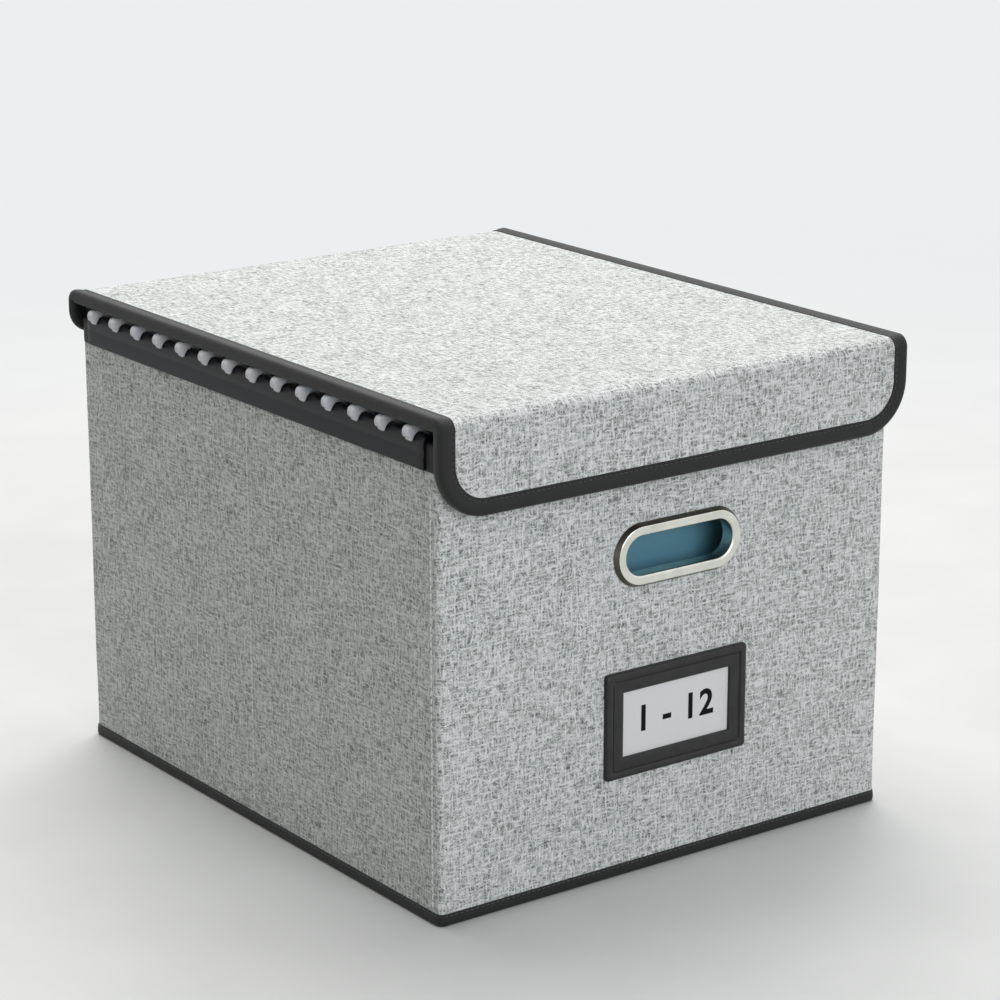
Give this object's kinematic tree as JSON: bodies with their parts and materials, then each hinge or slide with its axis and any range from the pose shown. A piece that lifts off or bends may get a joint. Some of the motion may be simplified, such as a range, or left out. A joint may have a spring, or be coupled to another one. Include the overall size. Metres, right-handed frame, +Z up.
{
  "type": "hanging file box",
  "caption": "Linen-covered box for hanging files, with a lid that has two flaps, oval hand holes, side rails, blue folders and a label holder.",
  "frame": {"origin": "middle of the box's foot, under the middle of its overall size", "axes": "+Z up, -Y towards the front wall with the label holder, +X to the right of that wall"},
  "size_m": [0.3234, 0.3852, 0.2801],
  "materials": {
    "linen": "heathered woven linen",
    "lining": "non-woven lining",
    "board": "grey board",
    "covered_board": "board covered in lining",
    "binding_tape": "woven polyester tape",
    "rail_plastic": "extruded, satin",
    "nickel": "polished nickel plate",
    "label_metal": "satin gunmetal lacquer",
    "washer_steel": "plain steel",
    "card_paper": "white card",
    "hook_and_loop": "hook-and-loop tape",
    "folder_sheet": "dyed folder stock",
    "rod_steel": "flat steel strip",
    "tip_coating": "dipped plastic coating"
  },
  "bodies": {
    "carcass": {"outer_cover": "linen", "lining": "lining", "front_board": "board", "back_board": "board", "left_front_board": "board", "left_rear_board": "board", "right_front_board": "board", "right_rear_board": "board", "bottom_cover": "linen", "base_board": "covered_board", "rim_binding": "binding_tape", "foot_binding": "binding_tape", "left_rail": "rail_plastic", "right_rail": "rail_plastic", "front_hand_ring": "nickel", "front_hand_plate": "nickel", "rear_hand_ring": "nickel", "rear_hand_plate": "nickel", "label_frame": "label_metal", "label_washers": "washer_steel", "back_hook_strip": "hook_and_loop"},
    "lid_rear": {"lid_rear_board": "board", "lid_rear_cover": "linen", "lid_rear_lining": "lining", "lid_rear_binding": "binding_tape", "lid_loop_strip": "hook_and_loop"},
    "lid_top": {"lid_top_board": "board", "lid_top_cover": "linen", "lid_top_lining": "lining", "lid_top_binding": "binding_tape"},
    "lid_front": {"lid_front_board": "board", "lid_front_cover": "linen", "lid_front_lining": "lining", "lid_front_binding": "binding_tape"},
    "card": {"label_card": "card_paper"},
    "folder_1": {"folder_1_sheet": "folder_sheet", "folder_1_rods": "rod_steel", "folder_1_tips": "tip_coating"},
    "folder_2": {"folder_2_sheet": "folder_sheet", "folder_2_rods": "rod_steel", "folder_2_tips": "tip_coating"},
    "folder_3": {"folder_3_sheet": "folder_sheet", "folder_3_rods": "rod_steel", "folder_3_tips": "tip_coating"},
    "folder_4": {"folder_4_sheet": "folder_sheet", "folder_4_rods": "rod_steel", "folder_4_tips": "tip_coating"},
    "folder_5": {"folder_5_sheet": "folder_sheet", "folder_5_rods": "rod_steel", "folder_5_tips": "tip_coating"},
    "folder_6": {"folder_6_sheet": "folder_sheet", "folder_6_rods": "rod_steel", "folder_6_tips": "tip_coating"},
    "folder_7": {"folder_7_sheet": "folder_sheet", "folder_7_rods": "rod_steel", "folder_7_tips": "tip_coating"}
  },
  "joints": [
    {"name": "lid_lift", "type": "slide", "parent": "carcass", "child": "lid_rear", "axis": [0, 0, 1], "range_m": [0, 0.12]},
    {"name": "lid_hinge", "type": "hinge", "parent": "lid_rear", "child": "lid_top", "pos_m": [0, 0.19255, 0.28005], "axis": [-1, 0, 0], "range_deg": [0, 220]},
    {"name": "front_flap_hinge", "type": "hinge", "parent": "lid_top", "child": "lid_front", "pos_m": [0, -0.19255, 0.28005], "axis": [-1, 0, 0], "range_deg": [0, 180]},
    {"name": "card_slide", "type": "slide", "parent": "carcass", "child": "card", "axis": [0, 0, 1], "range_m": [0, 0.042]},
    {"name": "folder_1_slide", "type": "slide", "parent": "carcass", "child": "folder_1", "axis": [0, 1, 0], "range_m": [-0.008, 0.008]},
    {"name": "folder_2_slide", "type": "slide", "parent": "carcass", "child": "folder_2", "axis": [0, 1, 0], "range_m": [-0.008, 0.008]},
    {"name": "folder_3_slide", "type": "slide", "parent": "carcass", "child": "folder_3", "axis": [0, 1, 0], "range_m": [-0.008, 0.008]},
    {"name": "folder_4_slide", "type": "slide", "parent": "carcass", "child": "folder_4", "axis": [0, 1, 0], "range_m": [-0.008, 0.008]},
    {"name": "folder_5_slide", "type": "slide", "parent": "carcass", "child": "folder_5", "axis": [0, 1, 0], "range_m": [-0.008, 0.008]},
    {"name": "folder_6_slide", "type": "slide", "parent": "carcass", "child": "folder_6", "axis": [0, 1, 0], "range_m": [-0.008, 0.008]},
    {"name": "folder_7_slide", "type": "slide", "parent": "carcass", "child": "folder_7", "axis": [0, 1, 0], "range_m": [-0.008, 0.008]}
  ]
}
